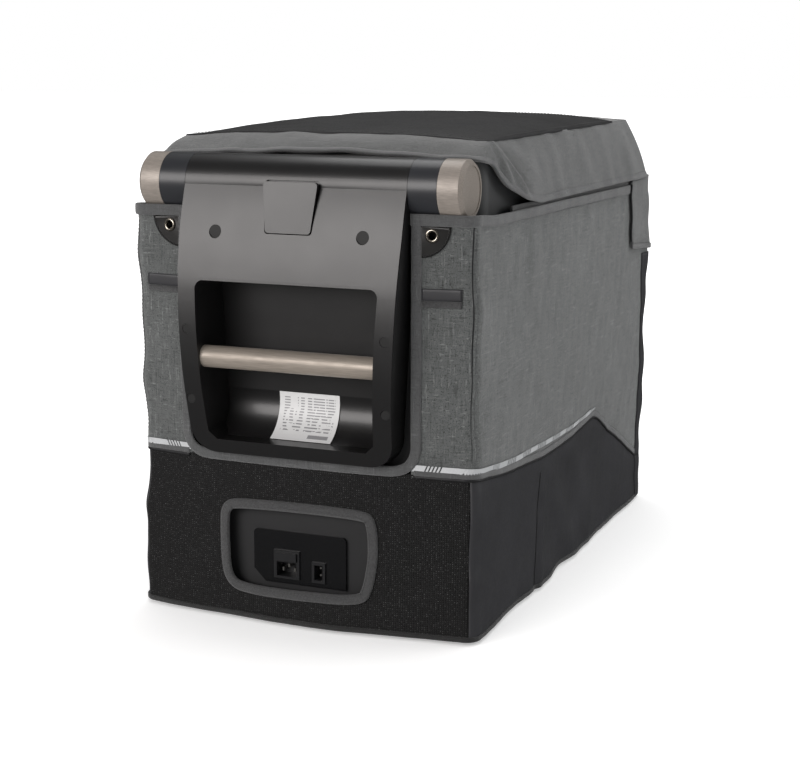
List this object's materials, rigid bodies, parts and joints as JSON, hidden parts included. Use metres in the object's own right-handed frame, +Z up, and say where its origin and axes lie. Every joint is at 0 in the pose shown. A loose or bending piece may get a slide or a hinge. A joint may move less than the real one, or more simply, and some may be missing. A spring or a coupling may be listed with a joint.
{
  "type": "compressor cooler fridge",
  "caption": "Portable compressor fridge box in a fitted padded fabric transit cover, with end handles, a hinged lid and power inlets.",
  "frame": {"origin": "on the floor, at the middle of the whole part's footprint", "axes": "+Z up; +Y along the length, from the lid's hinge end to the control end; +X to the right seen from the hinge end"},
  "size_m": [0.4072, 0.78, 0.549],
  "materials": {
    "heather_fabric": "woven grey melange, padded",
    "skirt_fabric": "woven grey melange",
    "top_fabric": "black coated fabric, satin",
    "panel_plastic": "satin gloss black moulding",
    "knuckle_plastic": "dark gunmetal satin",
    "cap_metal": "champagne satin",
    "bar_metal": "champagne anodised, satin",
    "frame_plastic": "fine textured black",
    "lid_plastic": "dark grey smooth",
    "cabinet_metal": "dark grey powder coat",
    "liner_plastic": "light grey vacuum-formed",
    "foam": "rigid polyurethane foam",
    "gasket_rubber": "soft black",
    "foot_rubber": "hard black",
    "plug_plastic": "satin black",
    "label_film": null,
    "steel": "bright zinc",
    "socket_plastic": "gloss black",
    "pin_metal": "nickel plated",
    "fuse_glass": "clear tube",
    "display_glass": "smoked window",
    "button_rubber": "matt keypad",
    "compressor_paint": "black enamel",
    "coil_aluminium": "mill",
    "copper": "copper tube",
    "fan_plastic": "black",
    "eyelet_metal": "nickel plated"
  },
  "bodies": {
    "cabinet": {"base_tray": "cabinet_metal", "rubber_feet": "foot_rubber", "cabinet_sides": "cabinet_metal", "tub_liner": "liner_plastic", "evaporator": "coil_aluminium", "insulation_foam": "foam", "top_rim": "frame_plastic", "hinge_end_frame": "frame_plastic", "control_end_frame": "frame_plastic", "hinge_end_panel": "panel_plastic", "release_tab_pin": "steel", "control_end_panel": "panel_plastic", "hinge_handle_bar": "bar_metal", "control_handle_bar": "bar_metal", "panel_screw_plugs": "plug_plastic", "rating_label": "label_film", "hinge_pin": "steel", "hinge_bearing_blocks": "frame_plastic", "barrel_cap_left": "cap_metal", "barrel_cap_right": "cap_metal", "inlet_plate": "socket_plastic", "ac_inlet": "socket_plastic", "dc_inlet": "socket_plastic", "inlet_pins": "pin_metal", "control_plate": "socket_plastic", "display_window": "display_glass", "compressor": "compressor_paint", "compressor_mounts": "foot_rubber", "condenser": "coil_aluminium", "fan_frame": "fan_plastic", "controller_box": "frame_plastic", "filter_drier": "copper", "refrigerant_pipes": "copper", "cover_side_left": "heather_fabric", "cover_side_right": "heather_fabric", "cover_strips_hinge_end": "heather_fabric", "cover_strips_control_end": "heather_fabric", "cover_lower_hinge_end": "heather_fabric", "cover_lower_control_end": "heather_fabric", "cover_eyelets": "eyelet_metal"},
    "lid": {"lid_shell": "lid_plastic", "lid_foam": "foam", "lid_liner": "liner_plastic", "lid_gasket": "gasket_rubber", "hinge_knuckles": "knuckle_plastic", "latch_bracket": "lid_plastic", "latch_pin": "steel", "lid_cover_top": "top_fabric", "lid_cover_sides": "skirt_fabric", "lid_cover_ends": "skirt_fabric", "lid_cover_flaps": "skirt_fabric"},
    "latch": {"latch_lever": "knuckle_plastic"},
    "release_tab": {"release_tab": "panel_plastic"},
    "fuse_drawer": {"fuse_drawer": "socket_plastic", "fuse": "fuse_glass"},
    "fan": {"fan_rotor": "fan_plastic"},
    "power_button": {"button_power": "button_rubber"},
    "menu_button": {"button_menu": "button_rubber"},
    "down_button": {"button_down": "button_rubber"},
    "up_button": {"button_up": "button_rubber"}
  },
  "joints": [
    {"name": "lid_hinge", "type": "hinge", "parent": "cabinet", "child": "lid", "pos_m": [0, -0.3315, 0.4805], "axis": [1, 0, 0], "range_deg": [0, 90]},
    {"name": "latch_pivot", "type": "hinge", "parent": "lid", "child": "latch", "pos_m": [0, 0.347, 0.465], "axis": [1, 0, 0], "range_deg": [0, 35]},
    {"name": "release_tab_pivot", "type": "hinge", "parent": "cabinet", "child": "release_tab", "pos_m": [0, -0.3715, 0.439], "axis": [1, 0, 0], "range_deg": [0, 12], "stiffness_Nm_per_rad": 0.4},
    {"name": "fuse_drawer_slide", "type": "slide", "parent": "cabinet", "child": "fuse_drawer", "axis": [0, -1, 0], "range_m": [0, 0.015]},
    {"name": "fan_spin", "type": "hinge", "parent": "cabinet", "child": "fan", "pos_m": [0.105, -0.2185, 0.105], "axis": [0, 1, 0], "continuous": true},
    {"name": "power_button_press", "type": "slide", "parent": "cabinet", "child": "power_button", "axis": [0, -1, 0], "range_m": [0, 0.001], "stiffness_N_per_m": 600},
    {"name": "menu_button_press", "type": "slide", "parent": "cabinet", "child": "menu_button", "axis": [0, -1, 0], "range_m": [0, 0.001], "stiffness_N_per_m": 600},
    {"name": "down_button_press", "type": "slide", "parent": "cabinet", "child": "down_button", "axis": [0, -1, 0], "range_m": [0, 0.001], "stiffness_N_per_m": 600},
    {"name": "up_button_press", "type": "slide", "parent": "cabinet", "child": "up_button", "axis": [0, -1, 0], "range_m": [0, 0.001], "stiffness_N_per_m": 600}
  ]
}
